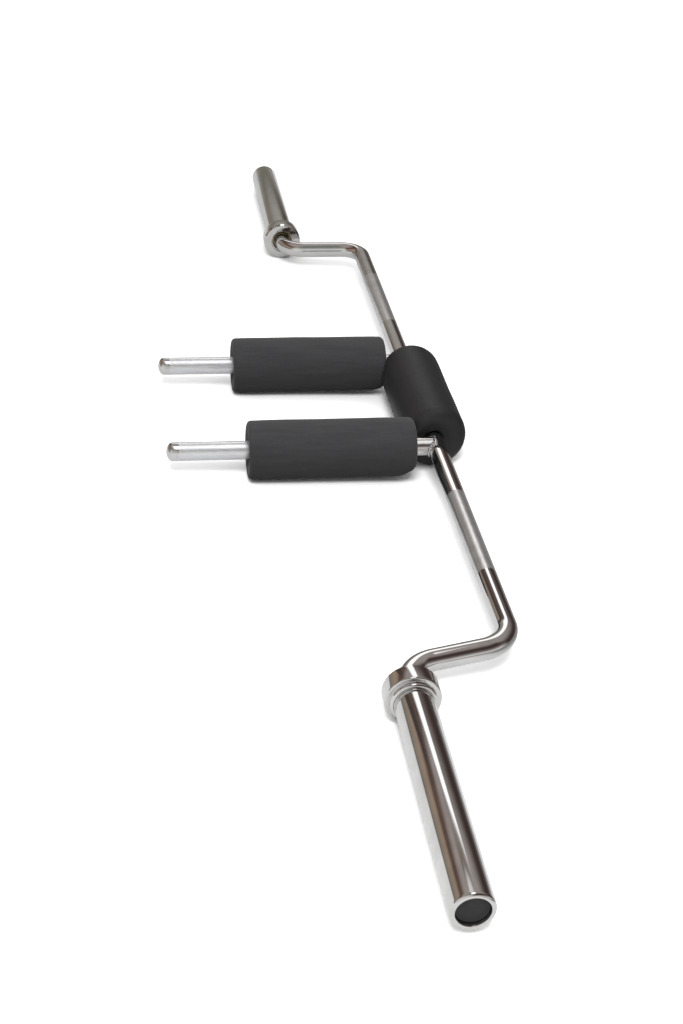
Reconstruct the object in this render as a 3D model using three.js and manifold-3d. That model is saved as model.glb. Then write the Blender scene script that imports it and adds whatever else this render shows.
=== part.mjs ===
// Safety squat bar: a bent steel rod with two welded handles, three foam rolls and two turning sleeves.
// X runs along the bar, the handles reach toward -Y, and the bar lies on the plane Z = 0.

import * as THREE from "three";
import { mergeVertices } from "three/addons/utils/BufferGeometryUtils.js";
import Module from "manifold-3d";

const wasm = await Module();
wasm.setup();

// Overall layout
const overallLength = 2184;
const camberReach = 141.5;
const handleSpacing = 288;

// Running and seating clearances
const fitGap = 0.3;
const boreGap = 0.35;
const cutOverrun = 2;

// Bent rod
const rodDiameter = 28.5;
const crankStandoff = 43;
const crankSplay = 24;
const bendRadius = 46;
const journalDiameter = 25;
const journalTail = 7;
const journalChamfer = 1.5;

// Sleeve tube
const sleeveLength = 374;
const sleeveDiameter = 50;
const sleeveBore = 38;
const mouthRound = 4.4;
const mouthEase = 1.4;
const tubeChamfer = 1;

// Collar flange with its stepped bead and the lip that covers the tube's foot
const collarDiameter = 70;
const collarLength = 28;
const collarBevel = 3;
const collarRound = 3.5;
const lipLength = 4;
const lipBore = 42;
const beadDiameter = 58;
const beadLength = 6;
const beadRound = 3.2;

// Bushes, washers and rings inside a sleeve
const innerBushInset = 12;
const innerBushLength = 50;
const outerBushInset = 75;
const outerBushLength = 40;
const bushChamfer = 0.8;
const clipThickness = 1.8;
const clipGrip = 2.6;
const grooveDepth = 1.2;
const washerThickness = 2;
const washerDiameter = 31;
const retainingRingWidth = 4.6;

// End plug
const plugRecess = 5;
const plugFace = 3;
const plugSkirt = 17;
const plugWall = 2.7;
const plugChamfer = 0.8;

// Handles
const handleDiameter = 28;
const handleReach = 406.5;
const handleRise = 3;
const handleButt = 4;
const domeLength = 9;
const weldReach = 5;

// Foam rolls
const neckPadDiameter = 97;
const neckPadLength = 248;
const neckPadRound = 17;
const shoulderPadDiameter = 89;
const shoulderPadLength = 254;
const shoulderPadInset = 32.5;
const shoulderPadRound = 11;
const padDish = 4;

// Facet counts
const rodSides = 28;
const roundSides = 28;
const innerSides = 24;
const padSides = 36;
const bendSteps = 8;
const cornerSteps = 4;
const ringSteps = 18;

// Angle left open between the ends of a spring ring
const ringOpening = Math.PI / 7;

const finishes = {
  chrome: { color: 0xd9dade, metalness: 1, roughness: 0.08 },
  satinChrome: { color: 0xc3c5c9, metalness: 1, roughness: 0.3 },
  weld: { color: 0xb1b2b6, metalness: 1, roughness: 0.38 },
  bronze: { color: 0xa3854a, metalness: 1, roughness: 0.35 },
  springSteel: { color: 0x4a4b4e, metalness: 1, roughness: 0.4 },
  zincSteel: { color: 0x9da0a4, metalness: 1, roughness: 0.35 },
  blackPlastic: { color: 0x161617, metalness: 0, roughness: 0.6 },
  foam: { color: 0x38383a, metalness: 0, roughness: 0.95 },
};

// Sizes that follow from the ones above
const rodRadius = rodDiameter / 2;
const journalRadius = journalDiameter / 2;
const collarRadius = collarDiameter / 2;
const neckPadRadius = neckPadDiameter / 2;
const shoulderPadRadius = shoulderPadDiameter / 2;
const handleRadius = handleDiameter / 2;
const rodHeight = neckPadRadius;
const sleeveHeight = collarRadius;
const sleeveFoot = overallLength / 2 - sleeveLength;
const crankFoot = sleeveFoot - crankStandoff;
const crankCorner = crankFoot - crankSplay;

// The crank plane leans down so that collars and neck roll lie on the same floor.
const camberDrop = rodHeight - sleeveHeight;
const crankDepth = Math.hypot(camberReach, camberDrop);
const crankTilt = Math.atan2(camberDrop, camberReach);

// The handles droop until the outer end of each shoulder roll meets the floor.
const rollContact = shoulderPadInset + shoulderPadLength - shoulderPadRound;
const contactSwing = Math.hypot(rollContact, shoulderPadRadius);
const contactLean = Math.atan2(shoulderPadRadius, rollContact);
const handleDroop = Math.asin((rodHeight + handleRise) / contactSwing) - contactLean;

// Places along a sleeve, measured from its inboard face
const tubeFoot = lipLength + fitGap;
const innerBushEnd = innerBushInset + innerBushLength;
const outerBushEnd = sleeveLength - outerBushInset;
const outerBushStart = outerBushEnd - outerBushLength;
const innerWasherStart = outerBushStart - fitGap - washerThickness;
const rodShoulder = innerWasherStart - fitGap;
const outerWasherStart = outerBushEnd + fitGap;
const retainingRingStart = outerWasherStart + washerThickness + fitGap;
const retainingRingEnd = retainingRingStart + clipThickness;
const journalEnd = retainingRingEnd + fitGap + journalTail;

// Clips that hold the bushes sit in grooves of the bore.
const clipStarts = {
  inner_bush_clip: innerBushEnd + fitGap,
  outer_bush_inner_clip: outerBushStart - fitGap - clipThickness,
  outer_bush_outer_clip: outerBushEnd + fitGap,
};

// A stretch of arc in a profile of [place along the axis, radius] points
function arc(along, radius, bend, from, to) {
  const points = [];
  for (let i = 0; i <= cornerSteps; i += 1) {
    const angle = from + (to - from) * i / cornerSteps;
    points.push([along + bend * Math.cos(angle), radius + bend * Math.sin(angle)]);
  }
  return points;
}

// Merges shared corners, so that only closed triangles are left.
function weld(geometry) {
  geometry.deleteAttribute("normal");
  geometry.deleteAttribute("uv");
  const merged = mergeVertices(geometry);
  const corners = merged.index.array;
  const kept = [];
  for (let i = 0; i < corners.length; i += 3) {
    const [a, b, c] = corners.slice(i, i + 3);
    if (a !== b && b !== c && c !== a) {
      kept.push(a, b, c);
    }
  }
  merged.setIndex(kept);
  return merged;
}

function solidOf(geometry) {
  const welded = weld(geometry);
  const mesh = new wasm.Mesh({
    numProp: 3,
    vertProperties: new Float32Array(welded.attributes.position.array),
    triVerts: new Uint32Array(welded.index.array),
  });
  return new wasm.Manifold(mesh);
}

function geometryOf(solid) {
  const mesh = solid.getMesh();
  const geometry = new THREE.BufferGeometry();
  geometry.setAttribute("position", new THREE.BufferAttribute(mesh.vertProperties, 3));
  geometry.setIndex(new THREE.BufferAttribute(mesh.triVerts, 1));
  geometry.computeVertexNormals();
  return geometry;
}

// A solid turned about X. The profile runs outside first, in the direction of +X, and back along the bore.
function turned(profile, sides = roundSides) {
  const points = profile.map(([along, radius]) => new THREE.Vector2(radius, along));
  const geometry = new THREE.LatheGeometry(points, sides);
  geometry.rotateZ(-Math.PI / 2);
  return geometry;
}

// A turned ring with its bore, whose profile closes on itself
function turnedRing(outside, sides = roundSides) {
  return turned([...outside, outside[0]], sides);
}

// A plain round bar between two places on its axis
function roundStock(from, to, radius, sides) {
  return turned([[from, 0], [from, radius], [to, radius], [to, 0]], sides);
}

// A spring ring of one flat strip bent round, open at its ends, with its thickness along +X
function springRing(innerRadius, outerRadius, thickness) {
  const points = [];
  for (const [radius, from, to] of [[outerRadius, 0, 1], [innerRadius, 1, 0]]) {
    for (let i = 0; i <= ringSteps; i += 1) {
      const share = from + (to - from) * i / ringSteps;
      const angle = ringOpening / 2 + share * (2 * Math.PI - ringOpening);
      points.push(new THREE.Vector2(radius * Math.cos(angle), radius * Math.sin(angle)));
    }
  }
  const options = { depth: thickness, bevelEnabled: false };
  const geometry = new THREE.ExtrudeGeometry(new THREE.Shape(points), options);
  geometry.rotateY(Math.PI / 2);
  return geometry;
}

// A round bend that leaves one straight line and joins the next
class Bend extends THREE.Curve {
  constructor(start, incoming, outgoing, radius) {
    super();
    this.start = start;
    this.incoming = incoming;
    this.inward = outgoing.clone().addScaledVector(incoming, -incoming.dot(outgoing)).normalize();
    this.radius = radius;
    this.turn = incoming.angleTo(outgoing);
  }

  getPoint(t, target = new THREE.Vector3()) {
    const angle = t * this.turn;
    target.copy(this.start);
    target.addScaledVector(this.incoming, this.radius * Math.sin(angle));
    return target.addScaledVector(this.inward, this.radius * (1 - Math.cos(angle)));
  }
}

// Straight and bent legs in a row, each with its own number of steps
class LeggedPath extends THREE.Curve {
  constructor(legs) {
    super();
    this.legs = legs;
    this.steps = legs.reduce((sum, leg) => sum + leg.steps, 0);
  }

  legAt(t) {
    let place = t * this.steps;
    let index = 0;
    while (index < this.legs.length - 1 && place > this.legs[index].steps) {
      place -= this.legs[index].steps;
      index += 1;
    }
    const leg = this.legs[index];
    return [leg.curve, Math.min(place / leg.steps, 1)];
  }

  getPoint(t, target = new THREE.Vector3()) {
    const [curve, share] = this.legAt(t);
    return target.copy(curve.getPoint(share));
  }

  getTangent(t, target = new THREE.Vector3()) {
    const [curve, share] = this.legAt(t);
    return target.copy(curve.getTangent(share));
  }

  getUtoTmapping(u) {
    return u;
  }
}

function roundedPath(corners, radius) {
  const legs = [];
  let from = corners[0];
  for (let i = 1; i < corners.length - 1; i += 1) {
    const incoming = corners[i].clone().sub(corners[i - 1]).normalize();
    const outgoing = corners[i + 1].clone().sub(corners[i]).normalize();
    const setback = radius * Math.tan(incoming.angleTo(outgoing) / 2);
    const enter = corners[i].clone().addScaledVector(incoming, -setback);
    legs.push({ curve: new THREE.LineCurve3(from, enter), steps: 1 });
    legs.push({ curve: new Bend(enter, incoming, outgoing, radius), steps: bendSteps });
    from = corners[i].clone().addScaledVector(outgoing, setback);
  }
  legs.push({ curve: new THREE.LineCurve3(from, corners.at(-1)), steps: 1 });
  return new LeggedPath(legs);
}

function circleShape(radius, sides) {
  const points = [];
  for (let i = 0; i < sides; i += 1) {
    const angle = 2 * Math.PI * i / sides;
    points.push(new THREE.Vector2(radius * Math.cos(angle), radius * Math.sin(angle)));
  }
  return new THREE.Shape(points);
}

function piece(name, geometry, finish, parent) {
  const mesh = new THREE.Mesh(geometry, new THREE.MeshStandardMaterial(finishes[finish]));
  mesh.name = name;
  parent.add(mesh);
}

const barGroup = new THREE.Group();

// One bent rod: straight middle, a crank at each end, and a journal with a ring groove inside each sleeve
function bentRod() {
  const reach = sleeveFoot + rodShoulder;
  const corners = [
    new THREE.Vector3(-reach, -crankDepth, 0),
    new THREE.Vector3(-crankFoot, -crankDepth, 0),
    new THREE.Vector3(-crankCorner, 0, 0),
    new THREE.Vector3(crankCorner, 0, 0),
    new THREE.Vector3(crankFoot, -crankDepth, 0),
    new THREE.Vector3(reach, -crankDepth, 0),
  ];
  const path = roundedPath(corners, bendRadius);
  const swept = new THREE.ExtrudeGeometry(circleShape(rodRadius, rodSides), {
    steps: path.steps,
    extrudePath: path,
  });
  let rod = solidOf(swept);
  const grooveRadius = journalRadius - grooveDepth;
  const profile = [
    [rodShoulder - cutOverrun, 0],
    [rodShoulder - cutOverrun, journalRadius],
    [retainingRingStart - fitGap, journalRadius],
    [retainingRingStart - fitGap, grooveRadius],
    [retainingRingEnd + fitGap, grooveRadius],
    [retainingRingEnd + fitGap, journalRadius],
    [journalEnd - journalChamfer, journalRadius],
    [journalEnd, journalRadius - journalChamfer],
    [journalEnd, 0],
  ];
  for (const side of [1, -1]) {
    const journal = turned(profile, rodSides);
    journal.rotateY(side > 0 ? 0 : Math.PI);
    journal.translate(side * sleeveFoot, -crankDepth, 0);
    rod = rod.add(solidOf(journal));
  }
  return geometryOf(rod);
}

const rodGroup = new THREE.Group();
rodGroup.position.z = rodHeight;
rodGroup.rotation.x = crankTilt;
barGroup.add(rodGroup);
piece("main_shaft", bentRod(), "chrome", rodGroup);

// Foam roll with a through bore, rounded shoulders and ends that dip toward the bore
function foamRoll(length, radius, bore, round) {
  const outside = [
    [padDish, bore],
    ...arc(round, radius - round, round, Math.PI, Math.PI / 2),
    ...arc(length - round, radius - round, round, Math.PI / 2, 0),
    [length - padDish, bore],
  ];
  return turnedRing(outside, padSides);
}

// Moves a shape that lies along +X from the rod's middle onto a handle's line, in the rod's own frame.
function alongHandle(geometry, side) {
  geometry.rotateZ(-Math.PI / 2);
  geometry.rotateX(handleDroop);
  geometry.translate(side * handleSpacing / 2, 0, handleRise);
  return geometry;
}

// The space of a shoulder roll with its clearance, which presses into the ends of the neck roll
function rollSpace(side) {
  const radius = shoulderPadRadius + fitGap;
  const round = shoulderPadRound;
  const from = shoulderPadInset - fitGap;
  const profile = [
    [from, 0],
    ...arc(from + round, radius - round, round, Math.PI, Math.PI / 2),
    [from + shoulderPadLength, radius],
    [from + shoulderPadLength, 0],
  ];
  return solidOf(alongHandle(turned(profile, padSides), side));
}

function neckRoll() {
  const roll = foamRoll(neckPadLength, neckPadRadius, rodRadius + boreGap, neckPadRound);
  roll.translate(-neckPadLength / 2, 0, 0);
  let solid = solidOf(roll);
  for (const side of [1, -1]) {
    solid = solid.subtract(rollSpace(side));
  }
  return geometryOf(solid);
}

const neckGroup = new THREE.Group();
neckGroup.position.z = rodHeight;
barGroup.add(neckGroup);
piece("neck_pad", neckRoll(), "foam", neckGroup);

// Straight handle rod with a domed tip, coped to the bent rod at its butt end
function handleRod(side) {
  const profile = [[handleButt, 0], [handleButt, handleRadius]];
  const domeFoot = handleReach - domeLength;
  for (let i = 0; i <= cornerSteps; i += 1) {
    const angle = Math.PI / 2 * i / cornerSteps;
    const radius = i < cornerSteps ? handleRadius * Math.cos(angle) : 0;
    profile.push([domeFoot + domeLength * Math.sin(angle), radius]);
  }
  const rod = solidOf(alongHandle(turned(profile, rodSides), side));
  return geometryOf(rod.subtract(rodSpace(side, rodRadius + boreGap)));
}

// A stretch of the bent rod's straight middle, at a handle
function rodSpace(side, radius) {
  const half = handleDiameter + weldReach;
  const stretch = roundStock(-half, half, radius, rodSides);
  stretch.translate(side * handleSpacing / 2, 0, 0);
  return solidOf(stretch);
}

// Weld bead in the corner between handle and rod, on both of their surfaces
function handleWeld(side) {
  const reach = rodRadius + weldReach + cutOverrun;
  const sleeve = roundStock(handleButt, reach, handleRadius + weldReach, rodSides);
  const hole = roundStock(0, reach + cutOverrun, handleRadius + boreGap, rodSides);
  const around = solidOf(alongHandle(sleeve, side));
  const bead = around.intersect(rodSpace(side, rodRadius + weldReach));
  const open = bead.subtract(solidOf(alongHandle(hole, side)));
  return geometryOf(open.subtract(rodSpace(side, rodRadius + boreGap)));
}

function shoulderRoll(side) {
  const bore = handleRadius + boreGap;
  const roll = foamRoll(shoulderPadLength, shoulderPadRadius, bore, shoulderPadRound);
  roll.translate(shoulderPadInset, 0, 0);
  return geometryOf(solidOf(alongHandle(roll, side)));
}

const handleGroup = new THREE.Group();
handleGroup.position.z = rodHeight;
barGroup.add(handleGroup);
for (const [name, side] of [["right", 1], ["left", -1]]) {
  piece(`${name}_handle`, handleRod(side), "satinChrome", handleGroup);
  piece(`${name}_handle_weld`, handleWeld(side), "weld", handleGroup);
  piece(`${name}_shoulder_pad`, shoulderRoll(side), "foam", handleGroup);
}

// Sleeve tube: rounded mouth, and one groove in the bore for each clip
function sleeveTube() {
  const outer = sleeveDiameter / 2;
  const bore = sleeveBore / 2;
  const profile = [
    [tubeFoot, bore + tubeChamfer],
    [tubeFoot, outer - tubeChamfer],
    [tubeFoot + tubeChamfer, outer],
    ...arc(sleeveLength - mouthRound, outer - mouthRound, mouthRound, Math.PI / 2, 0),
    ...arc(sleeveLength - mouthEase, bore + mouthEase, mouthEase, 0, -Math.PI / 2),
  ];
  const starts = Object.values(clipStarts).sort((a, b) => b - a);
  for (const start of starts) {
    const grooveFrom = start - fitGap;
    const grooveTo = start + clipThickness + fitGap;
    profile.push([grooveTo, bore], [grooveTo, bore + grooveDepth]);
    profile.push([grooveFrom, bore + grooveDepth], [grooveFrom, bore]);
  }
  profile.push([tubeFoot + tubeChamfer, bore]);
  return turnedRing(profile);
}

function sleeveCollar() {
  const lip = lipBore / 2;
  const bore = sleeveDiameter / 2 + boreGap;
  const bead = beadDiameter / 2;
  const beadEnd = collarLength + beadLength;
  return turnedRing([
    [0, lip],
    [0, collarRadius - collarBevel],
    [collarBevel, collarRadius],
    ...arc(collarLength - collarRound, collarRadius - collarRound, collarRound, Math.PI / 2, 0),
    [collarLength, bead],
    ...arc(beadEnd - beadRound, bead - beadRound, beadRound, Math.PI / 2, 0),
    [beadEnd, bore],
    [lipLength, bore],
    [lipLength, lip],
  ]);
}

// Plain bush, turned between its two chamfered ends
function bush(from, length, runningRadius) {
  const bore = runningRadius + boreGap;
  const outer = sleeveBore / 2 - boreGap;
  return turnedRing([
    [from, bore],
    [from, outer - bushChamfer],
    [from + bushChamfer, outer],
    [from + length - bushChamfer, outer],
    [from + length, outer - bushChamfer],
    [from + length, bore],
  ], innerSides);
}

function washer(from) {
  const bore = journalRadius + boreGap;
  const outer = washerDiameter / 2;
  const to = from + washerThickness;
  return turnedRing([[from, bore], [from, outer], [to, outer], [to, bore]], innerSides);
}

function boreClip(from) {
  const outer = sleeveBore / 2 + grooveDepth - boreGap;
  const ring = springRing(sleeveBore / 2 - clipGrip, outer, clipThickness);
  ring.translate(from, 0, 0);
  return ring;
}

function retainingRing() {
  const inner = journalRadius - grooveDepth + boreGap;
  const ring = springRing(inner, inner + retainingRingWidth, clipThickness);
  ring.translate(retainingRingStart, 0, 0);
  return ring;
}

// Plug pushed into the mouth: a face disc with a skirt behind it
function endPlug() {
  const outer = sleeveBore / 2 - boreGap;
  const face = sleeveLength - plugRecess;
  const back = face - plugFace;
  return turned([
    [back, 0],
    [back, outer - plugWall],
    [back - plugSkirt, outer - plugWall],
    [back - plugSkirt, outer],
    [face - plugChamfer, outer],
    [face, outer - plugChamfer],
    [face, 0],
  ], innerSides);
}

for (const [name, side] of [["right", 1], ["left", -1]]) {
  const sleeveGroup = new THREE.Group();
  sleeveGroup.position.set(side * sleeveFoot, -camberReach, sleeveHeight);
  sleeveGroup.rotation.y = side > 0 ? 0 : Math.PI;
  barGroup.add(sleeveGroup);
  piece(`${name}_sleeve_tube`, weld(sleeveTube()), "chrome", sleeveGroup);
  piece(`${name}_sleeve_collar`, weld(sleeveCollar()), "chrome", sleeveGroup);
  piece(`${name}_inner_bush`, weld(bush(innerBushInset, innerBushLength, rodRadius)), "bronze", sleeveGroup);
  const outerBush = bush(outerBushStart, outerBushLength, journalRadius);
  piece(`${name}_outer_bush`, weld(outerBush), "bronze", sleeveGroup);
  for (const [clip, start] of Object.entries(clipStarts)) {
    piece(`${name}_${clip}`, weld(boreClip(start)), "springSteel", sleeveGroup);
  }
  piece(`${name}_inner_thrust_washer`, weld(washer(innerWasherStart)), "zincSteel", sleeveGroup);
  piece(`${name}_outer_thrust_washer`, weld(washer(outerWasherStart)), "zincSteel", sleeveGroup);
  piece(`${name}_retaining_ring`, weld(retainingRing()), "springSteel", sleeveGroup);
  piece(`${name}_end_plug`, weld(endPlug()), "blackPlastic", sleeveGroup);
}

// The whole bar is set with the middle of its outer box over the origin.
const frontEdge = handleReach * Math.cos(handleDroop);
barGroup.position.y = (frontEdge - neckPadRadius) / 2;

export default barGroup;
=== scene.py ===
import math

import bpy
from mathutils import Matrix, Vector, noise


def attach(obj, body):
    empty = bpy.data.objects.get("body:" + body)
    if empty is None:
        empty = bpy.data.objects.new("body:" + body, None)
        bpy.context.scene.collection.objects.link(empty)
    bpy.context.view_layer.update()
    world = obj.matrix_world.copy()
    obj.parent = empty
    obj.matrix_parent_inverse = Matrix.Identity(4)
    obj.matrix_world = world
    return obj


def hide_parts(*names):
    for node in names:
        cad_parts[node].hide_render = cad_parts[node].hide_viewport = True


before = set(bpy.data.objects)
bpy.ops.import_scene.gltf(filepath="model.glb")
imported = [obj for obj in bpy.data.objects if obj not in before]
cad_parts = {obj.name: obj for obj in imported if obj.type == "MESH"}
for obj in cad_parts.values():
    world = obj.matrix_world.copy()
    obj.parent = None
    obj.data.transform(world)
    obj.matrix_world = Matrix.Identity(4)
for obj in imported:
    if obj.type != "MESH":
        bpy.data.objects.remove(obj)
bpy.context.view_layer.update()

scene = bpy.context.scene

# Camera: it stands past the right sleeve and a little in front of the bar, above head height, and looks
# down along the bar, so that the handles point to the left.
camera_place = (2.2405, -0.3451, 1.1948)
camera_turn = (59.346, -4.3256, 82.0916)
camera_lens = 56.818
camera_sensor = 36.0
camera_reach = (0.05, 60.0)

camera = bpy.data.objects.new("camera", bpy.data.cameras.new("camera"))
camera.data.sensor_width = camera_sensor
camera.data.lens = camera_lens
camera.data.clip_start, camera.data.clip_end = camera_reach
camera.location = camera_place
camera.rotation_euler = [math.radians(angle) for angle in camera_turn]
scene.collection.objects.link(camera)
scene.camera = camera

# Floor and studio: a white paper floor under an even sky, with one soft lamp high up on the camera's side.
# Chrome also shows the studio itself: brown walls, a dark doorway and a leaning window past the left sleeve,
# and a soft box over the handles.
floor_half = 9.0
floor_drop = 0.0002
paper_white = 1.6
paper_bounce = 0.16
# Painted reflection: as chrome sees it, the paper keeps its near tone in front of the bar and fades to a
# painted shade behind it, across the fade span along y. The camera sees the paper evenly white.
paper_near = 0.86
paper_reflection_shade_fade = (0.15, 0.34)
paper_far_reflection_shade = 0.30
room_low = 0.08
room_rise = 0.78
lamp_place = (2.5, -0.45, 3.1)
lamp_size = 1.3
lamp_light = 0.40
box_tone = (1.9, 1.9, 1.9)
box_along = (-0.13, 0.70)
box_across = (-0.07, 0.18)
box_edges = (0.05, 0.05)
box_lowest = 0.05
studio_radius = 5.0
studio_rings = 24
studio_sides = 48
studio_level_least = 0.02
studio_far_half = (-0.3, -0.1)
window_tone = (1.8, 1.8, 1.8)
window_across = (0.10, 0.30)
window_up = (0.53, 0.765)
window_edges = {"across": (0.20, 0.17), "up": (0.07, 0.08)}
window_lean = 1.3
window_middle = 0.70
doorway_across = (-0.54, -0.43)
doorway_up = (-0.20, 0.58)
doorway_edges = {"across": (0.05, 0.06), "up": (0.05, 0.10)}
doorway_tone = (0.085, 0.066, 0.062)
wall_turns = {"left to front": (-0.5, -0.17), "front to back": (0.15, 0.43),
              "corner to right": (-0.22, 0.22), "far to near": (0.2, 0.6)}
wall_tones = {
    "front": [(0.0, (0.50, 0.47, 0.44)), (0.10, (0.27, 0.255, 0.22)), (0.20, (0.21, 0.20, 0.165)),
              (0.30, (0.33, 0.31, 0.285)), (0.42, (0.46, 0.445, 0.415)), (0.48, (0.34, 0.29, 0.26)),
              (0.55, (0.13, 0.09, 0.072)), (0.64, (0.14, 0.105, 0.09)), (0.73, (0.45, 0.40, 0.39)),
              (0.82, (0.36, 0.32, 0.30)), (0.87, (0.22, 0.185, 0.155)), (0.89, (0.88, 0.87, 0.86)),
              (0.92, (0.88, 0.87, 0.86)), (0.945, (0.09, 0.085, 0.08))],
    "back": [(0.0, (0.16, 0.13, 0.13)), (0.12, (0.09, 0.065, 0.06)), (0.28, (0.056, 0.038, 0.034)),
             (0.42, (0.08, 0.06, 0.054)), (0.52, (0.15, 0.12, 0.11)), (0.64, (0.26, 0.23, 0.22)),
             (0.76, (0.40, 0.36, 0.34))],
    "left": [(0.0, (0.24, 0.22, 0.20)), (0.10, (0.29, 0.25, 0.215)), (0.22, (0.35, 0.29, 0.235)),
             (0.37, (0.42, 0.32, 0.245)), (0.46, (0.34, 0.25, 0.19)), (0.55, (0.14, 0.09, 0.068)),
             (0.66, (0.16, 0.11, 0.09)), (0.74, (0.34, 0.28, 0.26)), (0.80, (0.44, 0.38, 0.355))],
    "right": [(0.0, (0.96, 0.92, 0.90)), (0.20, (0.60, 0.56, 0.54)), (0.34, (0.26, 0.23, 0.22)),
              (0.46, (0.12, 0.10, 0.095)), (0.62, (0.065, 0.045, 0.04)), (0.76, (0.075, 0.055, 0.048)),
              (0.87, (0.30, 0.25, 0.24)), (1.0, (0.50, 0.45, 0.44))],
    "corner": [(0.0, (0.90, 0.90, 0.88)), (0.50, (0.78, 0.78, 0.76)), (0.72, (0.42, 0.42, 0.40)),
               (0.86, (0.28, 0.29, 0.27)), (0.96, (0.20, 0.21, 0.19))],
}


def node(finish, kind, **values):
    """Adds a node and sets its properties and its inputs by name."""
    made = finish.node_tree.nodes.new(kind)
    for key, value in values.items():
        if hasattr(made, key):
            setattr(made, key, value)
        else:
            made.inputs[key.replace("_", " ")].default_value = value
    return made


def join(finish, start, end):
    finish.node_tree.links.new(start, end)


def maths(finish, operation, first, second=None, third=None):
    """One step of maths on plain numbers and node outputs."""
    made = finish.node_tree.nodes.new("ShaderNodeMath")
    made.operation = operation
    for slot, value in zip(made.inputs, (first, second, third)):
        if isinstance(value, (int, float)):
            slot.default_value = value
        elif value is not None:
            join(finish, value, slot)
    return made.outputs[0]


def stepped(finish, value, low, high, first=0.0, last=1.0):
    """A smooth change from first to last while the value goes from low to high."""
    made = finish.node_tree.nodes.new("ShaderNodeMapRange")
    made.interpolation_type = "SMOOTHSTEP"
    join(finish, value, made.inputs["Value"])
    for name, number in zip(("From Min", "From Max", "To Min", "To Max"), (low, high, first, last)):
        made.inputs[name].default_value = number
    return made.outputs["Result"]


def mixed(finish, share, first, last):
    """A colour between two others, which are tones or node outputs and go to sockets 6 and 7."""
    made = finish.node_tree.nodes.new("ShaderNodeMix")
    made.data_type = "RGBA"
    for slot, value in zip((made.inputs[0], made.inputs[6], made.inputs[7]), (share, first, last)):
        if isinstance(value, tuple):
            slot.default_value = (*value, 1.0)
        elif isinstance(value, (int, float)):
            slot.default_value = value
        else:
            join(finish, value, slot)
    return made.outputs[2]


def ramp(finish, value, stops):
    """A colour read off a scale of tones, each at its place."""
    made = finish.node_tree.nodes.new("ShaderNodeValToRGB")
    marks = made.color_ramp.elements
    for place, _ in stops[2:]:
        marks.new(place)
    for mark, (place, tone) in zip(marks, stops):
        mark.position = place
        mark.color = (*tone, 1.0)
    join(finish, value, made.inputs["Fac"])
    return made.outputs["Color"]


def bare_finish(name):
    """A finish with nothing in it but its output."""
    finish = bpy.data.materials.new(name)
    finish.use_nodes = True
    finish.node_tree.nodes.clear()
    return finish, finish.node_tree.nodes.new("ShaderNodeOutputMaterial")


def seen_rays(finish):
    """One for what the camera, or polished metal and clear parts, see, and nothing for scattered light."""
    path = finish.node_tree.nodes.new("ShaderNodeLightPath")
    clear = maths(finish, "MAXIMUM", path.outputs["Is Glossy Ray"], path.outputs["Is Transmission Ray"])
    return path.outputs["Is Camera Ray"], clear


paper, paper_out = bare_finish("white_paper")
camera_ray, clear_ray = seen_rays(paper)
paper_face = node(paper, "ShaderNodeBsdfDiffuse")
paper_place = node(paper, "ShaderNodeNewGeometry")
paper_axes = node(paper, "ShaderNodeSeparateXYZ")
join(paper, paper_place.outputs["Position"], paper_axes.inputs[0])
# Painted reflection: for glossy rays the paper darkens to a painted shade behind the bar.
paper_reflected_shade = stepped(paper, paper_axes.outputs["Y"], *paper_reflection_shade_fade, paper_near, paper_far_reflection_shade)
paper_reflected_shade = maths(paper, "SUBTRACT", paper_reflected_shade, paper_bounce)
paper_tone = maths(paper, "MULTIPLY_ADD", clear_ray, paper_reflected_shade, paper_bounce)
paper_tone = maths(paper, "MULTIPLY_ADD", camera_ray, paper_white - paper_bounce, paper_tone)
join(paper, paper_tone, paper_face.inputs["Color"])
join(paper, paper_face.outputs[0], paper_out.inputs["Surface"])

floor_mesh = bpy.data.meshes.new("paper_floor")
floor_corners = [Vector((x * floor_half, y * floor_half, -floor_drop))
                 for x, y in ((-1, -1), (1, -1), (1, 1), (-1, 1))]
floor_mesh.from_pydata(floor_corners, [], [(0, 1, 2, 3)])
floor_mesh.materials.append(paper)
paper_floor = bpy.data.objects.new("paper_floor", floor_mesh)
scene.collection.objects.link(paper_floor)

# A spot of the studio is found by how high the way to it rises and by how far that way points across and
# along the bar, both as shares of its level reach.
studio_paint, studio_out = bare_finish("studio_walls")
studio_place = node(studio_paint, "ShaderNodeNewGeometry")
studio_way = node(studio_paint, "ShaderNodeVectorMath", operation="NORMALIZE")
join(studio_paint, studio_place.outputs["Position"], studio_way.inputs[0])
studio_axes = node(studio_paint, "ShaderNodeSeparateXYZ")
join(studio_paint, studio_way.outputs[0], studio_axes.inputs[0])
along, across, up = studio_axes.outputs
flat_reach = maths(studio_paint, "COSINE", maths(studio_paint, "ARCSINE", up))
flat_reach = maths(studio_paint, "MAXIMUM", flat_reach, studio_level_least)
side_share = maths(studio_paint, "DIVIDE", across, flat_reach)
end_share = maths(studio_paint, "DIVIDE", along, flat_reach)
walls = {name: ramp(studio_paint, up, tones) for name, tones in wall_tones.items()}


def turned_from(share, walls_met, here, there):
    """The studio's colour as it turns from one wall to the next."""
    return mixed(studio_paint, stepped(studio_paint, share, *wall_turns[walls_met]), here, there)


studio_colour = turned_from(side_share, "left to front", walls["left"], walls["front"])
studio_colour = turned_from(side_share, "front to back", studio_colour, walls["back"])
right_colour = turned_from(side_share, "corner to right", walls["corner"], walls["right"])
studio_colour = turned_from(end_share, "far to near", studio_colour, right_colour)


def patch_of(*spans):
    """One inside a bright or dark patch of the studio, and nothing outside it."""
    patch = 1.0
    for share, (low, high), edges in spans:
        inside = stepped(studio_paint, share, low - edges[0], low)
        patch = maths(studio_paint, "MULTIPLY", inside, patch)
        inside = stepped(studio_paint, share, high, high + edges[1], 1.0, 0.0)
        patch = maths(studio_paint, "MULTIPLY", inside, patch)
    return patch


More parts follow.
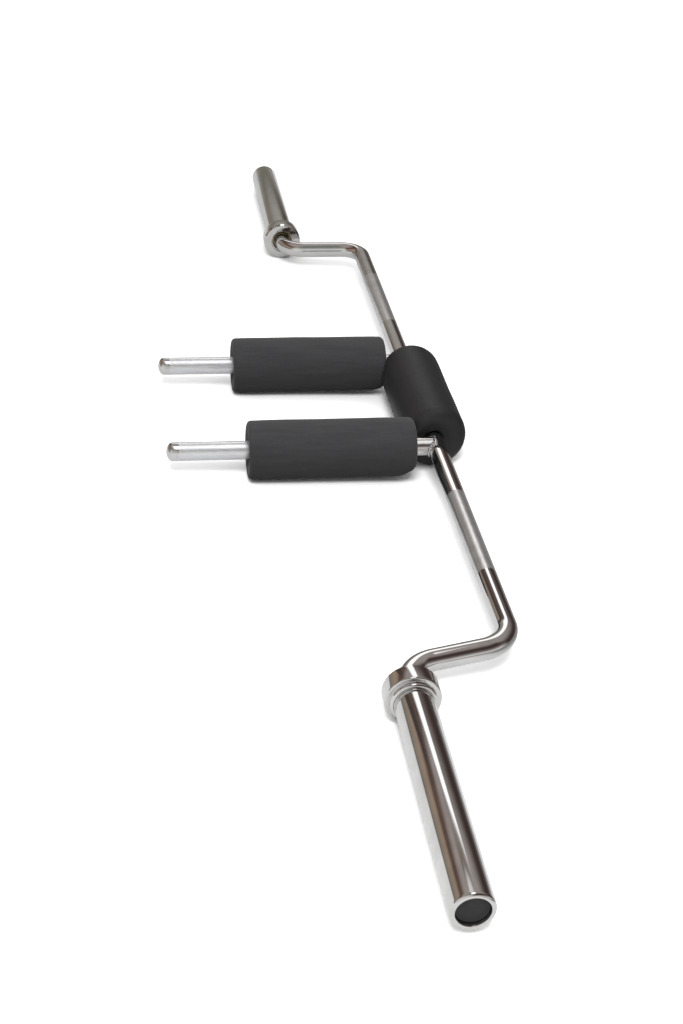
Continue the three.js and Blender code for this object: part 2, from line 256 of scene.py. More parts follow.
in_doorway = patch_of((side_share, doorway_across, doorway_edges["across"]),
                      (up, doorway_up, doorway_edges["up"]))
leaning = maths(studio_paint, "MULTIPLY_ADD", up, -window_lean, window_lean * window_middle)
window_share = maths(studio_paint, "ADD", side_share, leaning)
in_window = patch_of((window_share, window_across, window_edges["across"]),
                     (up, window_up, window_edges["up"]))
far_half = stepped(studio_paint, end_share, *studio_far_half, 1.0, 0.0)
in_doorway = maths(studio_paint, "MULTIPLY", in_doorway, far_half)
studio_colour = mixed(studio_paint, in_doorway, studio_colour, doorway_tone)
in_window = maths(studio_paint, "MULTIPLY", in_window, far_half)
studio_colour = mixed(studio_paint, in_window, studio_colour, window_tone)
overhead = maths(studio_paint, "MAXIMUM", up, box_lowest)
box_along_share = maths(studio_paint, "DIVIDE", along, overhead)
box_across_share = maths(studio_paint, "DIVIDE", across, overhead)
in_box = patch_of((box_along_share, box_along, box_edges), (box_across_share, box_across, box_edges))
studio_colour = mixed(studio_paint, in_box, studio_colour, box_tone)
studio_glow = node(studio_paint, "ShaderNodeEmission")
join(studio_paint, studio_colour, studio_glow.inputs["Color"])
join(studio_paint, studio_glow.outputs[0], studio_out.inputs["Surface"])
studio_paint.cycles.emission_sampling = "NONE"

studio_corners = []
for ring in range(studio_rings + 1):
    lift = math.pi / 2 * ring / studio_rings
    for side in range(studio_sides):
        turn = 2 * math.pi * side / studio_sides
        wall_way = Vector((math.cos(lift) * math.cos(turn), math.cos(lift) * math.sin(turn), math.sin(lift)))
        studio_corners.append(wall_way * studio_radius)
studio_panels = [(ring * studio_sides + side, ring * studio_sides + (side + 1) % studio_sides,
                  (ring + 1) * studio_sides + (side + 1) % studio_sides, (ring + 1) * studio_sides + side)
                 for ring in range(studio_rings) for side in range(studio_sides)]
studio_mesh = bpy.data.meshes.new("studio_walls")
studio_mesh.from_pydata(studio_corners, [], studio_panels)
studio_mesh.materials.append(studio_paint)
studio = bpy.data.objects.new("studio_walls", studio_mesh)
studio.visible_camera = False
studio.visible_diffuse = False
studio.visible_shadow = False
studio.visible_volume_scatter = False
scene.collection.objects.link(studio)

lamp = bpy.data.objects.new("soft_lamp", bpy.data.lights.new("soft_lamp", "AREA"))
lamp.data.shape = "DISK"
lamp.data.size = lamp_size
# The energy that gives this much light on the floor under the bar's middle, wherever the lamp stands.
lamp.data.energy = lamp_light * math.pi ** 2 * Vector(lamp_place).length ** 3 / lamp_place[2]
lamp.location = lamp_place
lamp.rotation_euler = Vector(lamp_place).to_track_quat("Z", "Y").to_euler()
lamp.visible_glossy = False
scene.collection.objects.link(lamp)

# The sky lights the bar more from overhead than from the sides, and is plain white where it is looked at.
room = bpy.data.worlds.new("room")
room.use_nodes = True
room_glow = room.node_tree.nodes["Background"]
camera_ray, clear_ray = seen_rays(room)
seen_ray = maths(room, "MAXIMUM", camera_ray, clear_ray)
room_way = node(room, "ShaderNodeTexCoord")
room_axes = node(room, "ShaderNodeSeparateXYZ")
join(room, room_way.outputs["Generated"], room_axes.inputs[0])
overhead_share = maths(room, "MAXIMUM", room_axes.outputs["Z"], 0.0)
room_shade = maths(room, "MULTIPLY_ADD", overhead_share, room_rise, room_low)
unseen = maths(room, "SUBTRACT", 1.0, seen_ray)
join(room, maths(room, "MULTIPLY_ADD", room_shade, unseen, seen_ray), room_glow.inputs["Strength"])
room_glow.inputs["Color"].default_value = (1.0, 1.0, 1.0, 1.0)
scene.world = room
scene.view_settings.view_transform = "Standard"

# Bent rod: one solid steel bar, 28.5 mm thick, bent cold into a crank at each end and chrome plated. Two
# stretches carry a rolled diamond knurl, and each end is turned down to the journal that its sleeve runs on.
mm = 0.001
rod_radius = 28.5 * mm / 2
rod_line = Vector((0.0, 178.934, 48.5)) * mm
sleeve_line = Vector((0.0, 37.434, 35.0)) * mm
bar_way = Vector((1.0, 0.0, 0.0))
crank_corner = 651 * mm
crank_foot = 675 * mm
bend_radius = 46 * mm
bend_steps = 28
sleeve_foot = 718 * mm
rod_sides = 112
knurl_reach = (294 * mm, 500 * mm)
knurl_step = 1.0 * mm
knurl_depth = 0.04 * mm
journal_radius = 25 * mm / 2
ring_groove_depth = 1.2 * mm
ring_groove_radius = journal_radius - ring_groove_depth
journal_places = {"shoulder": 256.4 * mm, "groove_from": 301.3 * mm, "groove_to": 303.7 * mm,
                  "end": 310.7 * mm}
journal_chamfer = 1.5 * mm
chrome_tones = ((0.60, 0.595, 0.59), (0.66, 0.655, 0.65))
chrome_polish = (0.035, 0.075)
knurl_tones = ((0.56, 0.555, 0.55), (0.64, 0.635, 0.63))
knurl_polish = (0.09, 0.13)
knurl_metal = 0.72
plate_clouds = 22 * mm
plate_haze = 9 * mm
plate_peel = 2.5 * mm
plate_peel_depth = 0.004 * mm
plate_peel_strength = 0.12


def piece(name, corners, faces, finishes, marks=None, crease=32):
    """Makes the mesh and smooths it. A face's mark is its finish, and those marked 1 stay cut facets."""
    mesh = bpy.data.meshes.new(name)
    mesh.from_pydata([tuple(corner) for corner in corners], [], faces)
    for finish in finishes:
        mesh.materials.append(finish)
    mesh.polygons.foreach_set("use_smooth", [True] * len(faces))
    mesh.set_sharp_from_angle(angle=math.radians(crease))
    if marks:
        mesh.polygons.foreach_set("use_smooth", [mark != 1 for mark in marks])
        mesh.polygons.foreach_set("material_index", marks)
    mesh.update()
    made = bpy.data.objects.new(name, mesh)
    scene.collection.objects.link(made)
    return made


def skinned(rings, gap_marks=None, closed=False):
    """Corners and faces of a skin over rings of points. A ring of one point is a tip."""
    corners, starts = [], []
    for ring in rings:
        starts.append(len(corners))
        corners.extend(ring)
    faces, marks = [], []
    pairs = list(zip(range(len(rings) - 1), range(1, len(rings))))
    if closed:
        pairs.append((len(rings) - 1, 0))
    for gap, (low, high) in enumerate(pairs):
        mark = gap_marks[gap] if gap_marks else 0
        count = max(len(rings[low]), len(rings[high]))
        for i in range(count):
            j = (i + 1) % count
            a, b = starts[low] + i, starts[low] + j
            c, d = starts[high] + j, starts[high] + i
            if len(rings[low]) == 1:
                new = [(starts[low], c, d)]
            elif len(rings[high]) == 1:
                new = [(a, b, starts[high])]
            elif mark == 1 and (gap + i) % 2 == 0:
                new = [(a, b, d), (b, c, d)]
            elif mark == 1:
                new = [(a, b, c), (a, c, d)]
            else:
                new = [(a, b, c, d)]
            faces.extend(new)
            marks.extend([mark] * len(new))
    return corners, faces, marks


def ring_of(centre, way, upright, radius, sides, cuts=None):
    """A ring of points square to its way. Cuts, 0 or 1, is the corner where the knurl's valleys start."""
    crosswise = way.cross(upright)
    points = []
    for i in range(sides):
        turn = 2 * math.pi * i / sides
        depth = knurl_depth if cuts is not None and (i + cuts) % 2 else 0.0
        points.append(centre + (upright * math.cos(turn) + crosswise * math.sin(turn)) * (radius - depth))
    return points


def bent_line(corners, bend, steps):
    """Places and ways along a line whose corners are bent round."""
    stations = []
    for before, corner, after in zip(corners, corners[1:], corners[2:]):
        come = (corner - before).normalized()
        leave = (after - corner).normalized()
        turn = come.angle(leave)
        inward = (leave - come * come.dot(leave)).normalized()
        start = corner - come * bend * math.tan(turn / 2)
        for i in range(steps + 1):
            angle = turn * i / steps
            place = start + come * bend * math.sin(angle) + inward * bend * (1 - math.cos(angle))
            stations.append((place, come * math.cos(angle) + inward * math.sin(angle)))
    return stations


def textured(finish, kind, size, stretch=(1.0, 1.0, 1.0), **values):
    """A texture in real sizes on the piece itself, size being that of one grain."""
    coordinates = finish.node_tree.nodes.new("ShaderNodeTexCoord")
    mapping = finish.node_tree.nodes.new("ShaderNodeMapping")
    mapping.inputs["Scale"].default_value = stretch
    join(finish, coordinates.outputs["Object"], mapping.inputs["Vector"])
    texture = node(finish, kind, Scale=1.0 / size, **values)
    join(finish, mapping.outputs["Vector"], texture.inputs["Vector"])
    return texture


def surface(name, roughness, metallic=0.0, **values):
    """A finish with its shader. What is the same all over is set here on the shader itself."""
    finish, out = bare_finish(name)
    shader = node(finish, "ShaderNodeBsdfPrincipled")
    shader.inputs["Roughness"].default_value = roughness
    shader.inputs["Metallic"].default_value = metallic
    for key, value in values.items():
        shader.inputs[key.replace("_", " ")].default_value = value
    join(finish, shader.outputs[0], out.inputs["Surface"])
    return finish, shader


def coloured(finish, shader, share, tones, sharpness=(0.3, 0.7)):
    """Colours a finish between two tones."""
    join(finish, mixed(finish, stepped(finish, share, *sharpness), *tones), shader.inputs["Base Color"])


def roughened(finish, shader, share, polish, sharpness=(0.25, 0.75)):
    """Varies a finish between two roughnesses, the first being the better polish."""
    join(finish, stepped(finish, share, *sharpness, *polish), shader.inputs["Roughness"])


def embossed(finish, shader, heights):
    """Bumps from several textures, each with its depth and strength."""
    normal = None
    for height, depth, strength in heights:
        bump = node(finish, "ShaderNodeBump", Strength=strength, Distance=depth)
        join(finish, height, bump.inputs["Height"])
        if normal:
            join(finish, normal, bump.inputs["Normal"])
        normal = bump.outputs["Normal"]
    join(finish, normal, shader.inputs["Normal"])


def plated(name, tones, polish, metallic=1.0):
    """Chrome plate over ground steel, cloudy in its polish. A knurl's fine points scatter light as well."""
    finish, shader = surface(name, polish[0], metallic)
    clouds = textured(finish, "ShaderNodeTexNoise", plate_clouds, Detail=3.0)
    coloured(finish, shader, clouds.outputs["Fac"], tones)
    haze = textured(finish, "ShaderNodeTexNoise", plate_haze, Detail=4.0, Roughness=0.6)
    roughened(finish, shader, haze.outputs["Fac"], polish)
    peel = textured(finish, "ShaderNodeTexNoise", plate_peel, Detail=2.0)
    embossed(finish, shader, [(peel.outputs["Fac"], plate_peel_depth, plate_peel_strength)])
    return finish


chrome = plated("chrome_plate", chrome_tones, chrome_polish)
knurled_chrome = plated("knurled_chrome", knurl_tones, knurl_polish, knurl_metal)

crank_way = (rod_line - sleeve_line).normalized()
crank_upright = bar_way.cross(crank_way)
rod_corners = [
    line + bar_way * (side * reach)
    for side, reach, line in (
        (-1, sleeve_foot, sleeve_line), (-1, crank_foot, sleeve_line), (-1, crank_corner, rod_line),
        (1, crank_corner, rod_line), (1, crank_foot, sleeve_line), (1, sleeve_foot, sleeve_line))
]
bends = bent_line(rod_corners, bend_radius, bend_steps)
bend_rings = [ring_of(place, way, crank_upright, rod_radius, rod_sides) for place, way in bends]
halfway = len(bend_rings) // 2

journal_outline = [
    (journal_places["shoulder"], rod_radius), (journal_places["shoulder"], journal_radius),
    (journal_places["groove_from"], journal_radius), (journal_places["groove_from"], ring_groove_radius),
    (journal_places["groove_to"], ring_groove_radius), (journal_places["groove_to"], journal_radius),
    (journal_places["end"] - journal_chamfer, journal_radius),
    (journal_places["end"], journal_radius - journal_chamfer), (journal_places["end"], 0.0),
]


def on_sleeve_line(side, place):
    """A point on the sleeve's axis. Places run outward from the sleeve's inboard face."""
    return sleeve_line + bar_way * (side * (sleeve_foot + place))


def journal_rings(side):
    """The journal at one end of the rod, from its shoulder to its tip."""
    rings = []
    for place, radius in journal_outline:
        centre = on_sleeve_line(side, place)
        rings.append(ring_of(centre, bar_way, crank_upright, radius, rod_sides) if radius else [centre])
    return rings


rod_rings = journal_rings(-1)[::-1] + bend_rings[:halfway]
rod_marks = [0] * (len(rod_rings) - 1)
for side, (low, high) in ((-1, knurl_reach[::-1]), (1, knurl_reach)):
    steps = round(abs(high - low) / knurl_step)
    for i in range(steps + 1):
        place = rod_line + bar_way * (side * (low + (high - low) * i / steps))
        cuts = None if i in (0, steps) else len(rod_rings) % 2
        rod_marks.append(1 if i else 0)
        rod_rings.append(ring_of(place, bar_way, crank_upright, rod_radius, rod_sides, cuts))
rod_rings += bend_rings[halfway:] + journal_rings(1)
rod_marks += [0] * (len(rod_rings) - 1 - len(rod_marks))
corners, faces, face_marks = skinned(rod_rings, rod_marks)
rod = piece("bent_rod", corners, faces, [chrome, knurled_chrome], face_marks)
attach(rod, "bar")
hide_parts("main_shaft")

# Handles: two straight rods of 28 mm, coped and welded to the front of the bent rod. The grip that shows past
# the foam is knurled finely, and the tip past it is turned to a polished band and a low dome.
handle_radius = 28 * mm / 2
handle_spacing = 288 * mm
handle_rise = 3 * mm
handle_droop = math.radians(1.459)
handle_butt = 4 * mm
handle_reach = 406.5 * mm
handle_dome = 9 * mm
handle_knurl = (262 * mm, 388 * mm)
handle_foot_places = (24 * mm, 28 * mm, 60 * mm, 160 * mm)
handle_sides = 110
cope_gap = 0.35 * mm
cope_shares = (0.35, 0.7, 0.9, 1.0)
dome_steps = 14
tip_polish = (0.03, 0.06)
foot_tones = ((0.64, 0.64, 0.635), (0.74, 0.74, 0.735))
foot_polish = (0.13, 0.22)
grip_tones = ((0.68, 0.685, 0.705), (0.83, 0.835, 0.86))
grip_polish = (0.15, 0.25)
grip_metal = 0.72
grip_line = 0.8 * mm
grip_point = 1.5 * mm
grip_line_share = 0.7
grip_point_share = 0.3
grip_depth = 0.10 * mm
grip_strength = 0.60
both_sides = (("right", 1), ("left", -1))
handle_way = Vector((0.0, -math.cos(handle_droop), -math.sin(handle_droop)))
handle_upright = handle_way.cross(bar_way)


def together(finish, first, first_share, second, second_share):
    """Two textures added up, each with its share."""
    return maths(finish, "ADD", maths(finish, "MULTIPLY", first.outputs["Fac"], first_share),
                 maths(finish, "MULTIPLY", second.outputs["Fac"], second_share))


tip_chrome = plated("handle_tip_chrome", chrome_tones, tip_polish)
foot_chrome = plated("handle_foot_chrome", foot_tones, foot_polish)
grip_chrome, grip_shader = surface("knurled_grip_chrome", roughness=0.3, metallic=grip_metal)
grip_lines = textured(grip_chrome, "ShaderNodeTexNoise", grip_line, stretch=(1.0, 0.05, 1.0), Detail=2.0)
grip_points = textured(grip_chrome, "ShaderNodeTexNoise", grip_point, stretch=(1.0, 0.5, 1.0), Detail=3.0)
grip_share = together(grip_chrome, grip_lines, grip_line_share, grip_points, grip_point_share)
coloured(grip_chrome, grip_shader, grip_share, grip_tones, sharpness=(0.34, 0.64))
roughened(grip_chrome, grip_shader, grip_lines.outputs["Fac"], grip_polish)
embossed(grip_chrome, grip_shader, [(grip_points.outputs["Fac"], grip_depth, grip_strength)])


def handle_point(side, along_handle, radius, turn):
    """A point round a handle's own axis. Turn 0 points along the bar."""
    start = rod_line + Vector((side * handle_spacing / 2, 0.0, handle_rise))
    round_it = bar_way * math.cos(turn) + handle_upright * math.sin(turn)
    return start + handle_way * along_handle + round_it * radius


def cope(side, radius, turn, gap):
    """How far along the handle a line at this radius meets the bent rod."""
    point = handle_point(side, 0.0, radius, turn) - rod_line
    point.x = 0.0
    slope = point.dot(handle_way)
    inside = slope ** 2 - point.length_squared + (rod_radius + gap) ** 2
    return max(handle_butt, math.sqrt(max(inside, 0.0)) - slope)


def handle_ring(side, along_handle, radius, cuts=None):
    """A ring round a handle. With no place along it, it's the line where this radius meets the bent rod."""
    points = []
    for i in range(handle_sides):
        turn = 2 * math.pi * i / handle_sides
        depth = knurl_depth if cuts is not None and (i + cuts) % 2 else 0.0
        here = along_handle if along_handle is not None else cope(side, radius, turn, cope_gap)
        points.append(handle_point(side, here, radius - depth, turn))
    return points


for name, side in both_sides:
    rings = [[handle_point(side, cope(side, 0.0, 0.0, cope_gap), 0.0, 0.0)]]
    rings += [handle_ring(side, None, handle_radius * share) for share in cope_shares]
    rings += [handle_ring(side, place, handle_radius) for place in handle_foot_places]
    marks = [2] * (len(rings) - 2) + [0]
    steps = round((handle_knurl[1] - handle_knurl[0]) / knurl_step)
    for i in range(steps + 1):
        place = handle_knurl[0] + (handle_knurl[1] - handle_knurl[0]) * i / steps
        cuts = None if i in (0, steps) else len(rings) % 2
        marks.append(1 if i else 0)
        rings.append(handle_ring(side, place, handle_radius, cuts))
    dome_foot = handle_reach - handle_dome
    for i in range(dome_steps):
        angle = math.pi / 2 * i / dome_steps
        place = dome_foot + handle_dome * math.sin(angle)
        rings.append(handle_ring(side, place, handle_radius * math.cos(angle)))
    rings.append([handle_point(side, handle_reach, 0.0, 0.0)])
    marks += [0] * (len(rings) - 1 - len(marks))
    corners, faces, face_marks = skinned(rings, marks)
    handle = piece(f"{name}_handle_rod", corners, faces, [tip_chrome, grip_chrome, foot_chrome], face_marks)
    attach(handle, "bar")
    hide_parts(f"{name}_handle")

# Weld beads: one run of weld round each handle where it meets the bent rod, left as laid, with the overlapped
# ripples of a hand-held torch, and plated over with the rest.
bead_radius = 3.4 * mm
bead_set = 0.4 * mm
bead_steps = 240
bead_sides = 18
bead_ripples = 26
bead_thin = 0.55
bead_thick_turn = math.radians(48)
bead_thick_spread = math.radians(38)
bead_core = 12 * mm
bead_look = 0.02
bead_ripple = 0.10
bead_ripple_lean = 1.1
bead_ripple_stray = 2.2
bead_lump = 0.30
bead_lump_shift = 0.3
bead_grain = {"stray": 300, "lump": 210}
weld_tones = ((0.30, 0.295, 0.29), (0.90, 0.90, 0.90))
weld_polish = (0.12, 0.30)
weld_spatter = 1.6 * mm
weld_spatter_depth = 0.12 * mm
weld_spatter_strength = 0.6
weld_finish, weld_shader = surface("plated_weld", roughness=0.2, metallic=0.9)
weld_clouds = textured(weld_finish, "ShaderNodeTexNoise", weld_spatter, Detail=4.0)
coloured(weld_finish, weld_shader, weld_clouds.outputs["Fac"], weld_tones, sharpness=(0.38, 0.58))
roughened(weld_finish, weld_shader, weld_clouds.outputs["Fac"], weld_polish)
embossed(weld_finish, weld_shader, [(weld_clouds.outputs["Fac"], weld_spatter_depth, weld_spatter_strength)])


def bead_centre(side, turn):
    """The middle of the bead where it runs round a handle."""
    here = cope(side, handle_radius + bead_set, turn, 0.0)
    return handle_point(side, here + bead_set, handle_radius + bead_set, turn)


for name, side in both_sides:
    rings = []
    for i in range(bead_steps):
        turn = 2 * math.pi * i / bead_steps
        centre = bead_centre(side, turn)
        ahead, behind = bead_centre(side, turn + bead_look), bead_centre(side, turn - bead_look)
        way = (ahead - behind).normalized()
        outward = centre - handle_point(side, bead_core, 0.0, 0.0)
        outward = (outward - way * outward.dot(way)).normalized()
        sideways = way.cross(outward)
        from_thick = abs((turn - bead_thick_turn + math.pi) % (2 * math.pi) - math.pi) / bead_thick_spread
        here_radius = bead_radius * (bead_thin + (1 - bead_thin) * math.exp(-from_thick ** 2))
        ring = []
        for j in range(bead_sides):
            angle = 2 * math.pi * j / bead_sides
            stray = bead_ripple_stray * noise.noise(centre * bead_grain["stray"])
            phase = bead_ripples * turn + bead_ripple_lean * math.cos(angle) + stray
            ripple = bead_ripple * (abs(math.sin(phase / 2)) - 0.5)
            lump_place = centre * bead_grain["lump"] + Vector((j * bead_lump_shift, 0.0, side))
            lump = bead_lump * noise.noise(lump_place)
            radius = here_radius * (1 + ripple + lump)
            ring.append(centre + (outward * math.cos(angle) + sideways * math.sin(angle)) * radius)
        rings.append(ring)
    bead = piece(f"{name}_weld_bead", *skinned(rings, closed=True)[:2], [weld_finish], crease=60)
    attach(bead, "bar")
    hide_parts(f"{name}_handle_weld")

# Foam rolls: thick tubes of closed-cell rubber foam, cut to length, rounded over at both ends and pushed on.
# One sits round the bent rod for the neck, and one on each handle for a shoulder. Both of these press into
# the first.
roll_gap = 0.35 * mm
neck_roll = {"radius": 48.5 * mm, "length": 248 * mm, "ends": (17 * mm, 17 * mm),
             "bore": rod_radius + roll_gap}
shoulder_roll = {"radius": 44.5 * mm, "length": 250 * mm, "ends": (7 * mm, 6 * mm),
                 "bore": handle_radius + roll_gap}
shoulder_roll_inset = 36.5 * mm
shoulder_wear = {1: 13 * mm, -1: 4 * mm}
shoulder_wear_reach = 24 * mm
shoulder_wear_power = 1.5
neck_push = Vector((0.0, 3.5, 2.5)) * mm
roll_dish = 4 * mm
roll_dish_steps = 9
roll_dish_power = 1.5
roll_end_steps = 14
roll_bore_ease = 2.5 * mm
roll_ease_share = 0.3
roll_sides = 160
roll_steps = 74
roll_wave = 0.55 * mm
roll_pucker = 0.12 * mm
roll_shift = 0.35 * mm
roll_slim = 0.5 * mm
roll_slim_rise = 4
roll_grain = {"wave": 16, "pucker": 85, "shift": 40}
roll_seeds = {"neck": 3.0, "right": 12.0, "left": 10.0}
press_gap = 0.3 * mm
press_tries = 24
press_pull = 1.02
press_least = 0.00001
foam_tones = ((0.040, 0.040, 0.0425), (0.062, 0.062, 0.0655))
foam_polish = (0.84, 0.96)
neck_tones = ((0.0112, 0.0116, 0.0134), (0.0205, 0.0210, 0.0232))
neck_polish = (0.48, 0.58)
foam_streak = 9 * mm
foam_streak_share = 0.4
foam_speck = 1.4 * mm
foam_speck_share = 0.6
foam_cell = 1.1 * mm
foam_cell_depth = 0.12 * mm
foam_cell_strength = 0.5
foam_skin = 5 * mm
foam_skin_depth = 0.35 * mm
foam_skin_strength = 0.35


def foam_finish(name, tones, polish, drawn, **values):
    """Closed-cell foam: fine open cells, and streaks of a paler tone that lie the way it was drawn."""
    finish, shader = surface(name, polish[0], **values)
    streaks = textured(finish, "ShaderNodeTexNoise", foam_streak, stretch=drawn, Detail=4.0, Roughness=0.65)
    specks = textured(finish, "ShaderNodeTexNoise", foam_speck, Detail=3.0, Roughness=0.7)
    marks = together(finish, streaks, foam_streak_share, specks, foam_speck_share)
    coloured(finish, shader, marks, tones)
    roughened(finish, shader, specks.outputs["Fac"], polish)
    cells = textured(finish, "ShaderNodeTexVoronoi", foam_cell)
    skin = textured(finish, "ShaderNodeTexNoise", foam_skin, Detail=3.0)
    embossed(finish, shader, [(skin.outputs["Fac"], foam_skin_depth, foam_skin_strength),
                              (cells.outputs["Distance"], foam_cell_depth, foam_cell_strength)])
    return finish


foam = foam_finish("charcoal_foam", foam_tones, foam_polish, drawn=(1.0, 0.12, 1.0), Specular_IOR_Level=0.3,
                   Sheen_Weight=0.12, Sheen_Roughness=0.55)
neck_foam_finish = foam_finish("smooth_black_foam", neck_tones, neck_polish, drawn=(0.12, 1.0, 1.0),
                               Specular_IOR_Level=0.55)


def roll_outline(roll):
    """Places and radii from one end of the bore over the outside to its other end."""
    length, radius, bore = roll["length"], roll["radius"], roll["bore"]
    ends = []
    for shoulder in roll["ends"]:
        foot, ease = radius - shoulder, roll_bore_ease
        cut = ease * roll_ease_share
        end = [(roll_dish + ease, bore), (roll_dish + cut, bore + cut), (roll_dish, bore + ease)]
        for i in range(1, roll_dish_steps):
            share = i / roll_dish_steps
            sunk = roll_dish * (1 - share) ** roll_dish_power
            end.append((sunk, bore + ease + (foot - bore - ease) * share))
        for i in range(roll_end_steps + 1):
            angle = math.pi / 2 * i / roll_end_steps
            end.append((shoulder - shoulder * math.cos(angle), foot + shoulder * math.sin(angle)))
        ends.append(end)
    start, stop = roll["ends"][0], length - roll["ends"][1]
    barrel = [(start + (stop - start) * i / roll_steps, radius) for i in range(1, roll_steps)]
    return ends[0] + barrel + [(length - place, size) for place, size in reversed(ends[1])]


def roll_rings(roll, place_of, seed, worn=lambda place, turn: 0.0):
    """The roll's rings, with the soft unevenness of foam, a faint pucker near its ends and any wear."""
    rings = []
    for place, radius in roll_outline(roll):
        ring = []
        outside = min(1.0, max(0.0, (radius - roll["bore"]) / (roll["radius"] - roll["bore"])))
        middle = min(place, roll["length"] - place) / (roll["length"] / 2)
        slim = roll_slim * (1 - min(1.0, middle * roll_slim_rise)) ** 2
        for i in range(roll_sides):
            turn = 2 * math.pi * i / roll_sides
            spot = place_of(place, radius, turn)
            wave = noise.noise(spot * roll_grain["wave"] + Vector((seed, 0.0, 0.0)))
            pucker = noise.noise(spot * roll_grain["pucker"] + Vector((0.0, seed, 0.0)))
            swell = wave * roll_wave + pucker * roll_pucker - roll_wave * 0.5
            shift = noise.noise(spot * roll_grain["shift"] + Vector((0.0, 0.0, seed))) * roll_shift
            change = (swell - slim - worn(place, turn)) * outside
            ring.append(place_of(place + shift * outside * (1 - outside) * 4, radius + change, turn))
        rings.append(ring)
    return rings


def pressed(point):
    """Moves a point of the neck roll toward the rod until it clears the shoulder rolls."""
    spoke = point - rod_line
    spoke.x = 0.0
    reach = spoke.length
    for side in (1, -1):
        start = handle_point(side, 0.0, 0.0, 0.0)
        for _ in range(press_tries):
            here = rod_line + Vector((point.x, 0.0, 0.0)) + spoke.normalized() * reach
            along_roll = (here - start).dot(handle_way)
            aside = (here - start - handle_way * along_roll).length
            ease = shoulder_roll["ends"][0]
            inset = shoulder_roll_inset - press_gap + ease - along_roll
            outset = aside - (shoulder_roll["radius"] + press_gap - ease)
            if inset > 0 and outset > 0:
                clear = math.hypot(inset, outset) - ease
            else:
                clear = max(inset, outset) - ease
            if clear >= 0:
                break
            reach += clear * press_pull - press_least
    return rod_line + Vector((point.x, 0.0, 0.0)) + spoke.normalized() * min(reach, spoke.length)


def neck_place(place, radius, turn):
    """A point of the neck roll, whose foam is pushed back and up by the shoulder rolls in front of it."""
    spoke = Vector((0.0, math.cos(turn), math.sin(turn))) * radius
    share = (radius - neck_roll["bore"]) / (neck_roll["radius"] - neck_roll["bore"])
    push = Vector((0.0, neck_push.y, neck_push.z * (0.5 + 0.5 * math.sin(turn)))) * share
    return rod_line + Vector((place - neck_roll["length"] / 2, 0.0, 0.0)) + spoke + push


def shoulder_worn(side, place, turn):
    """How much the foam is rubbed down under the inner end, far more on the right roll than on the left."""
    below = max(0.0, -math.sin(turn)) ** shoulder_wear_power
    near_end = max(0.0, 1.0 - place / shoulder_wear_reach) ** shoulder_wear_power
    return shoulder_wear[side] * below * near_end


neck_rings = roll_rings(neck_roll, neck_place, roll_seeds["neck"])
neck_rings = [[pressed(point) for point in ring] for ring in neck_rings]
neck_foam = piece("neck_roll", *skinned(neck_rings, closed=True)[:2], [neck_foam_finish], crease=70)
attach(neck_foam, "bar")
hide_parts("neck_pad")

for name, side in both_sides:
    def shoulder_place(place, radius, turn, side=side):
        return handle_point(side, shoulder_roll_inset + place, radius, turn)

    def worn(place, turn, side=side):
        return shoulder_worn(side, place, turn)

    rings = roll_rings(shoulder_roll, shoulder_place, roll_seeds[name], worn)
    shoulder_foam = piece(f"{name}_shoulder_roll", *skinned(rings, closed=True)[:2], [foam], crease=70)
    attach(shoulder_foam, "bar")
    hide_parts(f"{name}_shoulder_pad")

# Sleeves: a drawn steel tube of 50 mm that a plate slides on, polished and chrome plated, with its mouth
# rounded over and a groove in the bore for each clip that keeps a bush in place.
tube_foot = 4.3 * mm
sleeve_length = 374 * mm
sleeve_radius = 25 * mm
sleeve_bore = 19 * mm
mouth_round = 4.4 * mm
mouth_ease = 1.4 * mm
tube_foot_ease = 0.8 * mm
tube_bore_ease = 0.4 * mm
clip_grooves = ((62.0 * mm, 64.4 * mm), (256.6 * mm, 259.0 * mm), (299.0 * mm, 301.4 * mm))
clip_groove_depth = 1.2 * mm
turned_sides = 128
ease_steps = 6


def eased(corners):
    """A turned outline whose corners, each with its own ease, are rounded off."""
    outline = []
    for i, (place, radius, ease) in enumerate(corners):
        before = Vector(corners[i - 1][:2])
        here = Vector((place, radius))
        after = Vector(corners[(i + 1) % len(corners)][:2])
        if not ease:
            outline.append((place, radius))
            continue
        come, leave = (here - before).normalized(), (after - here).normalized()
        turn = come.angle(leave)
        setback = ease * math.tan(turn / 2)
        start = here - come * setback
        inward = (leave - come * come.dot(leave)).normalized()
        for step in range(ease_steps + 1):
            angle = turn * step / ease_steps
            point = start + come * ease * math.sin(angle) + inward * ease * (1 - math.cos(angle))
            outline.append(tuple(point))
    return outline


def turned(name, outline, side, finishes, closed=True):
    """A piece turned about the sleeve's axis. Its outline is closed, or runs from tip to tip."""
    rings = []
    way, upright = bar_way * side, Vector((0.0, 0.0, 1.0))
    for place, radius in outline:
        centre = on_sleeve_line(side, place)
        rings.append(ring_of(centre, way, upright, radius, turned_sides) if radius else [centre])
    return piece(name, *skinned(rings, closed=closed)[:2], finishes)


sleeve_outline = [(tube_foot, sleeve_bore, tube_bore_ease), (tube_foot, sleeve_radius, tube_foot_ease),
                  (sleeve_length, sleeve_radius, mouth_round), (sleeve_length, sleeve_bore, mouth_ease)]
for groove_from, groove_to in clip_grooves[::-1]:
    sleeve_outline += [(groove_to, sleeve_bore, 0.0), (groove_to, sleeve_bore + clip_groove_depth, 0.0),
                       (groove_from, sleeve_bore + clip_groove_depth, 0.0), (groove_from, sleeve_bore, 0.0)]
for name, side in both_sides:
    tube = turned(f"{name}_sleeve", eased(sleeve_outline), side, [chrome])
    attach(tube, f"{name}_sleeve")
    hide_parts(f"{name}_sleeve_tube")

